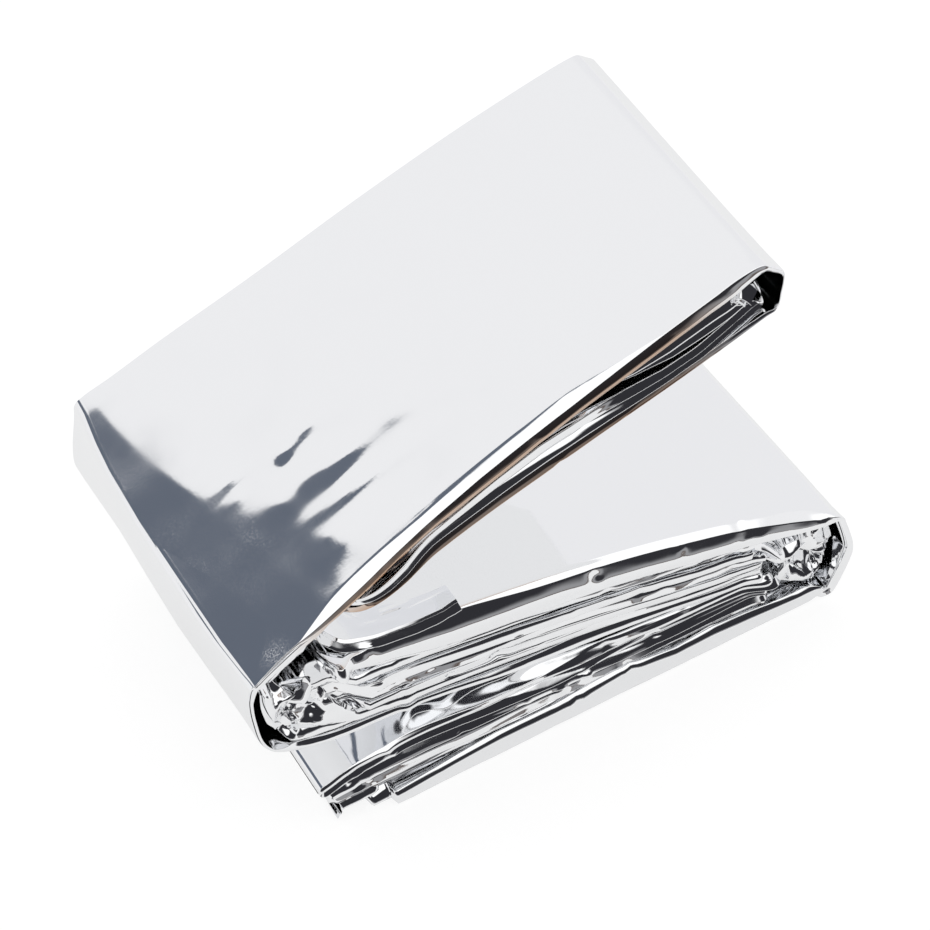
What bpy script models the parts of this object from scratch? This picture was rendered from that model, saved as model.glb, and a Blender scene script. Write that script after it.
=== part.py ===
"""Emergency foil blanket: one metallised film sheet, folded up small and lying half sprung open.

The sheet is folded lengthwise into a strip, and the strip winds back and forth through three
leaves. The top leaf rises from the spine on the left to a hollow nose. The middle leaf runs from
the spine to the round nose on the right. The bottom leaf runs back from there along the surface.
The section lies in XZ, in millimetres, and is lofted along Y. Y is 0 at the near edge.
"""
import math
from collections import namedtuple

import bpy
import numpy as np

MM = 0.001
SHEET = 1.2          # thickness of one layer of the strip
PITCH = 1.75         # middle to middle of two layers that lie close
FLOOR = SHEET / 2    # middle of the layer that rests on the surface
ROUNDING = 7.0       # depth from the near edge over which a curled edge rounds off
FAR_TUCK = 0.6       # how far a layer's far edge is tucked in, as a share of its near edge's tuck
MAX_STEP = 9.0       # longest stretch between two rungs of the loft
MAX_TURN = 22.0      # largest bend between two rungs, degrees
DEPTHS = (0.0, 0.028, 0.088, 0.5, 1.0)   # where the loft has points across the strip, as a share

# A place along the winding: the middle of the outermost layer there, the middle of the innermost
# layer, the near and far edges of the strip, how far its far edge leans to the right, and the
# share of its full curl that a curled near edge has there.
Place = namedtuple("Place", "outer_x outer_z inner_x inner_z near far lean curl")

PLACES = {
    "leaf_1": [   # from its nose, high on the right, down to the spine
        Place(104.6, 93.8, 105.4, 84.0, 0.0, 73.0, 3.4, 0.3),
        Place(84.0, 86.3, 85.4, 76.7, 0.0, 75.0, 2.6, 0.8),
        Place(60.0, 76.8, 61.4, 68.4, 0.0, 76.0, 1.6, 1.0),
        Place(36.0, 66.0, 37.4, 59.7, 0.0, 77.5, 0.8, 1.0),
        Place(17.0, 56.3, 19.4, 53.3, -1.0, 79.0, 0.3, 0.5),
    ],
    "spine": [    # round the spine, from the crease at its top to its underside
        Place(5.2, 50.2, 11.2, 47.8, -2.0, 79.5, 0.0, 0.0),
        Place(-0.9, 46.5, 7.6, 45.8, -4.0, 80.0, 0.0, 0.0),
        Place(-2.7, 42.6, 6.2, 44.0, -4.0, 80.0, 0.0, 0.0),
        Place(-3.2, 37.5, 6.2, 42.8, -3.5, 80.0, 0.0, 0.0),
        Place(-2.6, 32.0, 7.6, 41.9, -3.0, 80.0, 0.0, 0.0),
        Place(-0.2, 27.5, 9.8, 41.5, -2.5, 80.0, 0.0, 0.0),
    ],
    "leaf_2": [   # from the spine to the right, the stack of seven layers
        Place(4.6, 23.9, 13.4, 41.3, -2.0, 80.0, 0.0, 0.0),
        Place(11.0, 22.0, 18.0, 41.1, -1.5, 80.0, 0.0, 0.3),
        Place(25.0, 20.8, 32.0, 40.2, -1.0, 80.0, 0.0, 0.7),
        Place(45.0, 19.0, 50.0, 38.0, -0.5, 80.0, 0.0, 1.0),
        Place(65.0, 16.9, 70.0, 34.8, 0.0, 80.0, 0.0, 1.0),
        Place(85.0, 14.8, 90.0, 31.2, 0.0, 80.0, 0.0, 1.0),
        Place(102.0, 13.5, 108.0, 26.9, 0.0, 80.0, 0.0, 0.8),
        Place(109.5, 13.4, 119.2, 23.2, 0.0, 80.0, 0.0, 0.5),
    ],
    "nose": [     # round the right end
        Place(112.2, 13.2, 125.2, 19.6, 0.0, 80.0, 0.0, 0.3),
        Place(113.4, 12.0, 127.3, 13.4, 0.0, 80.0, 0.0, 0.3),
        Place(112.2, 10.8, 125.0, 5.6, 0.0, 80.0, 0.0, 0.3),
    ],
    "leaf_3": [   # back along the surface to the left
        Place(109.8, 10.5, 118.8, 1.3, 0.0, 80.0, 0.0, 0.4),
        Place(102.0, 10.8, 108.0, FLOOR, 0.0, 80.0, 0.0, 0.8),
        Place(85.0, 11.0, 92.0, FLOOR, -1.0, 80.0, 0.0, 1.0),
        Place(65.0, 12.2, 70.0, FLOOR, -2.4, 80.0, 0.0, 1.0),
        Place(45.0, 14.2, 48.0, FLOOR, -4.2, 80.0, 0.0, 1.0),
        Place(28.0, 15.4, 31.0, FLOOR, -4.4, 80.0, 0.0, 0.8),
        Place(16.0, 14.2, 21.0, FLOOR, -3.2, 80.0, 0.0, 0.4),
        Place(10.5, 11.8, 15.0, FLOOR + 0.25, -1.0, 80.0, 0.0, 0.0),
    ],
}
REGIONS = list(PLACES)

# Where a layer lies in the stack: its share of the way from the outer line to the inner one,
# pitches past that, how far its near edge is tucked in and how far that edge curls inwards.
Stand = namedtuple("Stand", "share pitches tuck curl")

STACK = {
    "leaf_1": {
        "cover": Stand(0.0, 0, 0.0, 2.6),
        "lining": Stand(0.0, 1, 7.5, 0.0),
        "skin": Stand(1.0, 0, 3.5, 0.0),
        "flap": Stand(1.0, 1, 1.0, 0.0),
    },
    "spine": {
        "cover": Stand(0.0, 0, 0.0, 0.0),
        "lining": Stand(0.33, 0, 2.5, 0.0),
        "skin": Stand(1.0, 0, 6.0, 0.0),
    },
    "leaf_2": {
        "cover": Stand(0.0, 0, 0.5, 0.0),
        "lining": Stand(0.18, 0, 1.5, 0.0),
        "core_1": Stand(0.31, 0, 0.8, 0.0),
        "core_2": Stand(0.44, 0, 2.2, 0.0),
        "core_3": Stand(0.57, 0, 1.2, 0.0),
        "core_4": Stand(0.73, 0, 4.0, 0.0),
        "skin": Stand(1.0, 0, 0.0, 2.8),
    },
    "nose": {
        "cover": Stand(0.0, 0, 2.5, 0.0),
        "lining": Stand(0.14, 0, 1.6, 0.0),
        "core_1": Stand(0.275, 0, 3.0, 0.0),
        "core_2": Stand(0.41, 0, 1.8, 0.0),
        "core_3": Stand(0.545, 0, 3.4, 0.0),
        "core_4": Stand(0.69, 0, 2.4, 0.0),
        "skin": Stand(1.0, 0, 0.0, 1.2),
    },
    "leaf_3": {
        "cover": Stand(0.0, 0, 1.0, 0.0),
        "lining": Stand(0.165, 0, 0.0, 0.0),
        "core_1": Stand(0.33, 0, 1.4, 0.0),
        "core_2": Stand(0.495, 0, 0.4, 0.0),
        "core_3": Stand(0.66, 0, 2.6, 0.0),
        "core_4": Stand(0.825, 0, 5.5, 0.0),
        "skin": Stand(1.0, 0, 0.0, 3.2),
    },
}

# The loose end of the strip, which lies on the middle leaf in the crotch of the packet.
Loose = namedtuple("Loose", "x z near far")
LOOSE_FLAP = [
    Loose(39.5, 44.2, -1.5, 6.0),
    Loose(35.0, 43.1, -1.5, 7.0),
    Loose(28.0, 42.8, -1.0, 11.0),
    Loose(21.0, 43.0, 1.0, 24.0),
    Loose(17.0, 43.3, 3.0, 62.0),
    Loose(14.6, 44.4, 3.5, 78.0),
    Loose(16.0, 47.6, 3.0, 78.0),
]

# The course of the strip from end to end: each layer, the regions it passes, and how far the
# turn at its end bulges past its last place.
# A turn is squarer the smaller its power is below 1, and 1 makes it half an ellipse.
Run = namedtuple("Run", "layer first last bulge power")
COURSE = [
    Run("flap", "leaf_1", "leaf_1", 3.6, 0.6),
    Run("cover", "leaf_1", "leaf_3", 1.4, 1.0),
    Run("lining", "leaf_3", "leaf_1", 2.0, 0.6),
    Run("skin", "leaf_1", "leaf_3", 1.6, 1.0),
    Run("core_4", "leaf_3", "leaf_2", 1.8, 1.0),
    Run("core_3", "leaf_2", "leaf_3", 1.2, 1.0),
    Run("core_2", "leaf_3", "leaf_2", 1.2, 1.0),
    Run("core_1", "leaf_2", "leaf_3", 0.0, 1.0),
]
TURN_STEPS = 6


def stack_point(place, stand, inward):
    """A section point: x, z, near and far edge, lean, and the push in x and z that curls its edge."""
    outer = np.array([place.outer_x, place.outer_z])
    inner = np.array([place.inner_x, place.inner_z])
    across = (inner - outer) / np.linalg.norm(inner - outer)
    middle = outer + (inner - outer) * stand.share + across * (PITCH * stand.pitches)
    curl = across * (stand.curl * place.curl * inward)
    near, far = place.near + stand.tuck, place.far - FAR_TUCK * stand.tuck
    return np.array([*middle, near, far, place.lean, *curl])


def layer_points(run):
    """One pass of the strip through the regions of its run."""
    first, last = REGIONS.index(run.first), REGIONS.index(run.last)
    points = []
    for region in REGIONS[min(first, last):max(first, last) + 1]:
        stand = STACK[region][run.layer]
        inward = 1 if stand.share < 0.5 else -1
        points += [stack_point(place, stand, inward) for place in PLACES[region]]
    if run.layer == "flap" or first > last:
        points.reverse()
    return points


def turn_points(start, before, end, bulge, power):
    """Half a round from one layer's last point to the next one's first."""
    across = (end - start) / 2
    along = start[:2] - before[:2]
    along -= across[:2] * np.dot(along, across[:2]) / np.dot(across[:2], across[:2])
    along *= bulge / np.linalg.norm(along)
    points = []
    for step in range(1, TURN_STEPS):
        angle = math.pi * step / TURN_STEPS
        swing = math.copysign(abs(math.cos(angle)) ** power, math.cos(angle))
        point = start + across * (1 - swing)
        point[:2] += along * math.sin(angle) ** power
        points.append(point)
    return points


def section_points():
    """The strip's whole course as points of the section."""
    points = [np.array([*loose, 0.0, 0.0, 0.0]) for loose in LOOSE_FLAP]
    for run, following in zip(COURSE, COURSE[1:] + [None]):
        points += layer_points(run)
        if following:
            start_of_next = layer_points(following)[0]
            points += turn_points(points[-1], points[-2], start_of_next, run.bulge, run.power)
    return np.array(points)


def smooth(points):
    """A Catmull-Rom curve through the points, with rungs as close as its bends need."""
    padded = np.vstack([2 * points[0] - points[1], points, 2 * points[-1] - points[-2]])
    curve = []
    for p0, p1, p2, p3 in zip(padded, padded[1:], padded[2:], padded[3:]):
        lengths = [math.sqrt(np.linalg.norm((b - a)[:2])) for a, b in ((p0, p1), (p1, p2), (p2, p3))]
        t0, t1, t2, t3 = np.cumsum([0.0] + lengths)
        into, out = (p2 - p0)[:2], (p3 - p1)[:2]
        cosine = np.dot(into, out) / (np.linalg.norm(into) * np.linalg.norm(out))
        bend = math.degrees(math.acos(max(-1.0, min(1.0, cosine))))
        steps = max(math.ceil(np.linalg.norm((p2 - p1)[:2]) / MAX_STEP), math.ceil(bend / MAX_TURN))
        for t in np.linspace(t1, t2, steps, endpoint=False):
            a1 = p0 + (p1 - p0) * (t - t0) / (t1 - t0)
            a2 = p1 + (p2 - p1) * (t - t1) / (t2 - t1)
            a3 = p2 + (p3 - p2) * (t - t2) / (t3 - t2)
            b1 = a1 + (a2 - a1) * (t - t0) / (t2 - t0)
            b2 = a2 + (a3 - a2) * (t - t1) / (t3 - t1)
            curve.append(b1 + (b2 - b1) * (t - t1) / (t2 - t1))
    curve.append(points[-1])
    return np.array(curve)


def loft(curve):
    """Points and faces of the strip's middle surface."""
    vertices, faces = [], []
    rows = len(DEPTHS)
    for x, z, near, far, lean, curl_x, curl_z in curve:
        z = max(z, FLOOR)
        for share in DEPTHS:
            depth = share * (far - near)
            rounding = max(0.0, 1 - depth / ROUNDING) ** 2
            vertices.append((x + curl_x * rounding + lean * share, near + depth, z + curl_z * rounding))
    for rung in range(len(curve) - 1):
        for row in range(rows - 1):
            corner = rung * rows + row
            faces.append((corner, corner + 1, corner + rows + 1, corner + rows))
    return np.array(vertices), faces


def film_material():
    material = bpy.data.materials.new("metallised_film")
    material.use_nodes = True
    shader = material.node_tree.nodes["Principled BSDF"]
    shader.inputs["Base Color"].default_value = (0.82, 0.83, 0.84, 1.0)
    shader.inputs["Metallic"].default_value = 1.0
    shader.inputs["Roughness"].default_value = 0.15
    return material


def build():
    for old in list(bpy.data.objects):
        bpy.data.objects.remove(old, do_unlink=True)
    collection = bpy.data.collections.new("emergency_foil_blanket")
    bpy.context.scene.collection.children.link(collection)

    vertices, faces = loft(smooth(section_points()))
    mesh = bpy.data.meshes.new("foil_sheet")
    mesh.from_pydata([tuple(vertex * MM) for vertex in vertices], [], faces)
    sheet = bpy.data.objects.new("foil_sheet", mesh)
    collection.objects.link(sheet)
    mesh.materials.append(film_material())

    thickness = sheet.modifiers.new("film thickness", "SOLIDIFY")
    thickness.thickness = SHEET * MM
    thickness.offset = 0.0
    thickness.use_even_offset = True

    solid = sheet.evaluated_get(bpy.context.evaluated_depsgraph_get())
    corners = np.array([tuple(corner) for corner in solid.bound_box])
    middle = (corners.min(axis=0) + corners.max(axis=0)) / 2
    sheet.location = (-middle[0], -middle[1], 0.0)


build()
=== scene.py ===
"""An emergency foil blanket: thin metallised film, folded into a strip and then into a small packet.

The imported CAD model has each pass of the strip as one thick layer. Here each pass is a few panels
of real film, folded back and forth across the strip, with their closed folds at the near and far
edges. The sizes are in millimetres of the section, and the frame's origin is at CENTRE.
"""
import math
import random
from collections import namedtuple

import bpy
import numpy as np
from mathutils import Matrix, Vector
from mathutils.geometry import delaunay_2d_cdt


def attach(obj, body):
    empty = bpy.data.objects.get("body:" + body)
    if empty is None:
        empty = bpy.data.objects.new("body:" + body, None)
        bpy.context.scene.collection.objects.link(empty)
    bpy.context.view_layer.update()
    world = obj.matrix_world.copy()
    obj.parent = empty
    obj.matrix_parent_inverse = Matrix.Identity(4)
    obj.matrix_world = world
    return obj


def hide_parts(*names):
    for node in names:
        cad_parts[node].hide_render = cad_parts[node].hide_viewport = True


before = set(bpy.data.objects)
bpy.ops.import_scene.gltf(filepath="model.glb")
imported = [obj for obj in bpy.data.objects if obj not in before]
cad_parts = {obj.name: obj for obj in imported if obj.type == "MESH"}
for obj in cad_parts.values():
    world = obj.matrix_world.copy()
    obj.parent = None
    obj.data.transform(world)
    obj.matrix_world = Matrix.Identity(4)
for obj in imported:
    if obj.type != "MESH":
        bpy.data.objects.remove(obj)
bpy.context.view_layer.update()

MM = 0.001
CENTRE = (62.05, 37.59)   # the frame's origin in section x and depth
FLOOR = 0.25              # lowest film, just clear of the surface
PITCH = 1.75              # middle to middle of layers that lie on each other
STEP = 0.8                # spacing of the rows along the course
FINE_STEP = 0.45          # and round the spine and the nose
LEAN_DEPTH = 78.0         # depth at which a place's lean is reached


def table(kind, rows):
    """Rows of numbers as a list of named tuples."""
    return [kind(*row) for row in rows]


def tables(kind, rows_by_key):
    return {key: table(kind, rows) for key, rows in rows_by_key.items()}


# ---- the course of the strip

# Where the outer and the inner layer lie in the section, their near and far edges, and how far
# the far edge leans to the right.
Place = namedtuple("Place", "outer_x outer_z inner_x inner_z near far lean")

PLACES = tables(Place, {
    "leaf_1": [   # from the free right end down to the spine, outside on top
        (104.6, 93.8, 105.4, 84, 0, 73, 3.4),
        (84, 86.3, 85.4, 76.7, 0, 75, 2.6),
        (60, 76.8, 61.4, 68.4, 0, 76, 1.6),
        (36, 65.8, 37.4, 59.7, -0.2, 77.5, 0.8),
        (17, 57.35, 19.4, 53.3, -2, 79, 0.3),
    ],
    "spine": [    # round the left side
        (5.2, 52.1, 11.2, 47.8, -3.6, 79.5, 0),
        (0.4, 49.96, 8.2, 46, -4.2, 80, 0),
        (-1.1, 49.291, 7.5, 45.5, -4.5, 80, 0),
        (-1.4, 49.158, 7.4, 45.4, -4.5, 80, 0),
        (-2.05, 48.75, 7, 44.9, -4.6, 80, 0),
        (-2.4, 48, 6.6, 44.4, -4.4, 80, 0),
        (-2.6, 46.4, 6.2, 44, -4, 80, 0),
        (-3.2, 38.5, 6.2, 42.8, -3.5, 80, 0),
        (-2.6, 32, 7.6, 41.9, -3, 80, 0),
        (-0.2, 27.5, 9.8, 41.5, -2.5, 80, 0),
    ],
    "leaf_2": [   # from the spine to the right, the stack of seven layers
        (4.6, 23.9, 13.4, 41.3, -2, 80, 0),
        (11, 22, 18, 41.1, -1.5, 80, 0),
        (25, 20.8, 32, 40.2, -1, 80, 0),
        (45, 19, 50, 38, -0.5, 80, 0),
        (65, 16.9, 70, 34.8, 0, 80, 0),
        (85, 14.8, 90, 31.2, 0, 80, 0),
        (102, 13.5, 108, 26.9, 0, 80, 0),
        (109.5, 13.4, 119.2, 23.2, 0, 80, 0),
    ],
    "nose": [     # round the right end
        (112.2, 13.2, 124.5, 20.7, 0, 80, 0),
        (112.6, 13, 125.1, 19.7, 0, 80, 0),
        (113.3, 12.4, 127, 12.9, 0, 80, 0),
        (113.3, 11.9, 127, 11.5, 0, 80, 0),
        (112.4, 11, 123.2, 2.9, 0, 80, 0),
        (111.6, 10.9, 122, 1.6, 0, 80, 0),
    ],
    "leaf_3": [   # back along the surface to the left
        (109.8, 10.7, 118.8, 1.3, 0, 80, 0),
        (102, 11.4, 108, 0.6, 0, 80, 0),
        (85, 11.9, 92, 0.6, -0.8, 80, 0),
        (65, 12.6, 70, 0.6, -1.9, 80, 0),
        (45, 14.2, 48, 0.6, -3.2, 80, 0),
        (28, 15.4, 31, 0.6, -3.8, 80, 0),
        (16, 14.2, 21, 0.6, -4.2, 80, 0),
        (9.8, 12.13, 15, 0.8, -4.2, 80, 0),
        (8.2, 11.6, 13.5, 0.85, -4.2, 80, 0),
    ],
})
REGIONS = list(PLACES)

# Where a layer lies in the stack: its share of the way from the outer line to the inner one,
# pitches past that, and how far its near edge is tucked in.
Stand = namedtuple("Stand", "share pitches tuck")

STACK = {region: {layer: Stand(*row) for layer, row in rows.items()} for region, rows in {
    "leaf_1": {"cover": (0, 0, 0), "lining": (0, 1, 4), "skin": (1, 0, 0.6), "flap": (1, 1, 0.3)},
    "spine": {"cover": (0, 0, 0), "lining": (0.33, 0, 1), "skin": (1, 0, 22)},
    "leaf_2": {
        "cover": (0, 0, 0.5), "lining": (0.13, 0, 0.8), "core_1": (0.25, 0, 0.4),
        "core_2": (0.37, 0, 0.9), "core_3": (0.5, 0, 0.5), "core_4": (0.64, 0, 1), "skin": (1, 0, 0),
    },
    "nose": {
        "cover": (0, 0, 8), "lining": (0.13, 0, 8), "core_1": (0.26, 0, 9), "core_2": (0.38, 0, 8),
        "core_3": (0.5, 0, 9), "core_4": (0.62, 0, 2), "skin": (1, 0, 0),
    },
    "leaf_3": {
        "cover": (0, 0, 1.6), "lining": (0.165, 0, 2), "core_1": (0.33, 0, 1.7),
        "core_2": (0.495, 0, 1.5), "core_3": (0.66, 0, 4.6), "core_4": (0.825, 0, 5.5),
        "skin": (1, 0, 0),
    },
}.items()}

# The loose end of the strip, which lies on the middle leaf in the crotch of the packet.
Loose = namedtuple("Loose", "x z near far")
LOOSE_FLAP = table(Loose, [
    (39.5, 44, -1.5, 3.6), (35, 42.9, -1.5, 4.4), (28, 42.6, -1.2, 6), (21, 42.8, -0.6, 10),
    (16, 43.4, 1.5, 40), (13.6, 44.8, 6, 76), (15, 47.8, 7, 78),
])

# The course from end to end: each layer, the regions it passes, how far its last place is moved
# along, how far the turn bulges past that, and how square it is: 1 is half an ellipse, and
# "pointed" goes by POINTED_TURN, which has shares of the way across and shares of the bulge.
Run = namedtuple("Run", "layer first last moved bulge power")
COURSE = table(Run, [
    ("flap", "leaf_1", "leaf_1", 0.3, 3.9, "pointed"),
    ("cover", "leaf_1", "leaf_3", 0, 1, 1),
    ("lining", "leaf_3", "leaf_1", -3.5, 0.8, 1),
    ("skin", "leaf_1", "leaf_3", 0, 1.6, 1),
    ("core_4", "leaf_3", "leaf_2", 0, 1.8, 1),
    ("core_3", "leaf_2", "leaf_3", 0, 1.2, 1),
    ("core_2", "leaf_3", "leaf_2", 0, 1.2, 1),
    ("core_1", "leaf_2", "leaf_3", 0, 0, 1),
])
POINTED_TURN = [
    (0.02, 0.42), (0.1, 0.66), (0.38, 0.84), (0.68, 1), (0.76, 0.93), (0.88, 0.52), (0.97, 0.2),
]
TURN_STEPS = 8
TURN_THINNING = 0.55    # how much of its reach the film loses at the middle of a turn
FAR_TUCK = 0.6          # how much of a tuck the far edge makes too
INWARD_RUNS = ("flap", "lining", "core_4", "core_2")  # their right-hand side faces inwards

# How far a layer's film reaches from its middle: this share of the way to half the distance of
# the next layer, at most so many mm, and this much where there is no next layer.
FILL = 0.90
MOST_REACH = {"leaf_1": 3.0, "spine": 1.0, "leaf_2": 2.4, "nose": 0.9, "leaf_3": 2.0}
EDGE_REACH = 0.35
LOOSE_REACH = (1.6, 0.8)    # of the loose end, down and up

# A section point, and so a row: x, z, near, far, lean, reach outwards and inwards, then each
# region's share from here on.
BASE = 7


def reaches(place, region, layer):
    """How far the film of a layer reaches towards the outer line and towards the inner one."""
    length = math.hypot(place.inner_x - place.outer_x, place.inner_z - place.outer_z)
    at = {name: stand.share * length + stand.pitches * PITCH for name, stand in STACK[region].items()}
    most = MOST_REACH[region]
    before = [at[layer] - other for name, other in at.items() if other < at[layer]]
    after = [other - at[layer] for name, other in at.items() if other > at[layer]]
    outwards = min(FILL * min(before) / 2, most) if before else EDGE_REACH
    inwards = min(FILL * min(after) / 2, most) if after else EDGE_REACH
    return outwards, inwards


def stack_point(place, region, layer):
    """The section point of a layer at a place."""
    stand = STACK[region][layer]
    outer = np.array([place.outer_x, place.outer_z])
    inner = np.array([place.inner_x, place.inner_z])
    across = (inner - outer) / np.linalg.norm(inner - outer)
    middle = outer + (inner - outer) * stand.share + across * (PITCH * stand.pitches)
    near, far = place.near + stand.tuck, place.far - FAR_TUCK * stand.tuck
    shares = [1.0 if name == region else 0.0 for name in REGIONS]
    return np.array([*middle, near, far, place.lean, *reaches(place, region, layer), *shares])


def layer_points(run):
    """A run's section points from its start to its end."""
    first, last = REGIONS.index(run.first), REGIONS.index(run.last)
    points = []
    for region in REGIONS[min(first, last):max(first, last) + 1]:
        points += [stack_point(place, region, run.layer) for place in PLACES[region]]
    if run.layer in INWARD_RUNS:
        points.reverse()
    along = points[-1][:2] - points[-2][:2]
    points[-1][:2] += along * run.moved / np.linalg.norm(along)
    return points


def turn_points(start, before, end, bulge, power):
    """The points round a turn from one layer into the next, past the end of the first."""
    across = (end - start) / 2
    along = start[:2] - before[:2]
    along = along - across[:2] * np.dot(along, across[:2]) / np.dot(across[:2], across[:2])
    along *= bulge / np.linalg.norm(along)
    points = []
    for step in range(1, TURN_STEPS):
        angle = math.pi * step / TURN_STEPS
        if power == "pointed":
            way, out = POINTED_TURN[step - 1]
        else:
            way = (1 - math.copysign(abs(math.cos(angle)) ** power, math.cos(angle))) / 2
            out = math.sin(angle) ** power
        point = start + across * 2 * way
        point[:2] += along * out
        point[5:BASE] *= 1 - TURN_THINNING * math.sin(angle)
        points.append(point)
    return points


def smooth(points):
    """A Catmull-Rom curve through the points, with rows about STEP apart."""
    padded = np.vstack([2 * points[0] - points[1], points, 2 * points[-1] - points[-2]])
    curve = []
    for p0, p1, p2, p3 in zip(padded, padded[1:], padded[2:], padded[3:]):
        lengths = [math.sqrt(np.linalg.norm((b - a)[:2])) for a, b in ((p0, p1), (p1, p2), (p2, p3))]
        t0, t1, t2, t3 = np.cumsum([0.0] + lengths)
        turning = max(p1[BASE + REGIONS.index("spine")], p1[BASE + REGIONS.index("nose")])
        spacing = FINE_STEP if turning > 0.5 else STEP
        steps = max(2, math.ceil(np.linalg.norm((p2 - p1)[:2]) / spacing))
        for t in np.linspace(t1, t2, steps, endpoint=False):
            a1 = p0 + (p1 - p0) * (t - t0) / (t1 - t0)
            a2 = p1 + (p2 - p1) * (t - t1) / (t2 - t1)
            a3 = p2 + (p3 - p2) * (t - t2) / (t3 - t2)
            b1 = a1 + (a2 - a1) * (t - t0) / (t2 - t0)
            b2 = a2 + (a3 - a2) * (t - t1) / (t3 - t1)
            curve.append(b1 + (b2 - b1) * (t - t1) / (t2 - t1))
    curve.append(points[-1])
    return np.array(curve)


def course_rows():
    """The whole course as rows, and the first and last row of each run."""
    nowhere = [0.0] * len(REGIONS)
    points = [np.array([*loose, 0.0, *LOOSE_REACH, *nowhere]) for loose in LOOSE_FLAP]
    ends = []
    for run, following in zip(COURSE, COURSE[1:] + [None]):
        points += layer_points(run)
        if following:
            start_of_next = layer_points(following)[0]
            turn = turn_points(points[-1], points[-2], start_of_next, run.bulge, run.power)
            ends.append(turn[TURN_STEPS // 2 - 1])
            points += turn
    rows = smooth(np.array(points))
    marks = [0]
    for end in ends:
        marks.append(int(np.argmin(np.linalg.norm(rows[:, :2] - end[:2], axis=1))))
    marks.append(len(rows) - 1)
    return rows, {run.layer: (a, b) for run, a, b in zip(COURSE, marks, marks[1:])}


# ---- unevenness

def zigzag(at, seed, spacing, low=-600.0, high=2600.0):
    """A line of straight pieces between knots about `spacing` apart, between -1 and 1."""
    rng = random.Random(seed)
    knots = []
    while low < high:
        knots.append(low)
        low += spacing * rng.uniform(0.35, 1.65)
    return np.interp(at, knots, [rng.uniform(-1, 1) for _ in knots])


def swell(at, seed, spacing):
    """A soft line, about -1 to 1."""
    rng = random.Random(seed)
    total = 0
    for _ in range(4):
        length = spacing * rng.uniform(1.2, 3.2)
        total = total + np.sin(2 * math.pi * (at / length + rng.random()))
    return total / 2.5


def swing(at, seed, spacing, kink_spacing):
    """A line with soft swells and kinks, about -1 to 1."""
    return 0.7 * swell(at, seed, spacing) + 0.5 * zigzag(at, seed, kink_spacing)


def facets(points, seed, spacing):
    """Flat facets between straight creases in space, about -1 to 1."""
    rng = random.Random(seed)
    total = 0
    for number in range(4):
        way = np.array([rng.gauss(0, 1) for _ in range(3)])
        way /= np.linalg.norm(way)
        total = total + zigzag(points @ way, seed * 7 + number, spacing)
    return total / 2


def ramp(at, low, high):
    """0 below low, 1 above high, smooth between."""
    t = np.clip((at - low) / (high - low), 0, 1)
    return t * t * (3 - 2 * t)


def past_corner(t):
    """0 below 0 and t above it, with a soft corner."""
    return np.log1p(np.exp(np.clip(t, -30, 30))) + np.maximum(t - 30, 0)


# ---- what is placed one by one

# Tables go along x on the leaves, and along z round the spine and the nose.

# How a layer's near part rolls over: how deep the roll starts and how far the edge moves
# towards the other side of the stack.
Roll = namedtuple("Roll", "at depth drop")
ROLLS = tables(Roll, {
    ("cover", "leaf_1"): [
        (0, 2.6, 1.5), (8, 2.6, 1.6), (15, 2.6, 1.5), (22, 2.6, 1.3), (36, 2.6, 1), (48, 3.3, 0.9),
        (57, 3.4, 0.85), (66, 3.6, 0.8), (72, 2.8, 0.7), (80, 1.9, 0.5), (86, 0.9, 0.4),
        (104, 0.5, 0.3),
    ],
    ("skin", "leaf_2"): [
        (14, 2, 0.6), (30, 3.4, 1.6), (60, 3.4, 1.8), (95, 3.4, 1.7), (112, 3.4, 1.7), (120, 3, 1.4),
    ],
})

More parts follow.
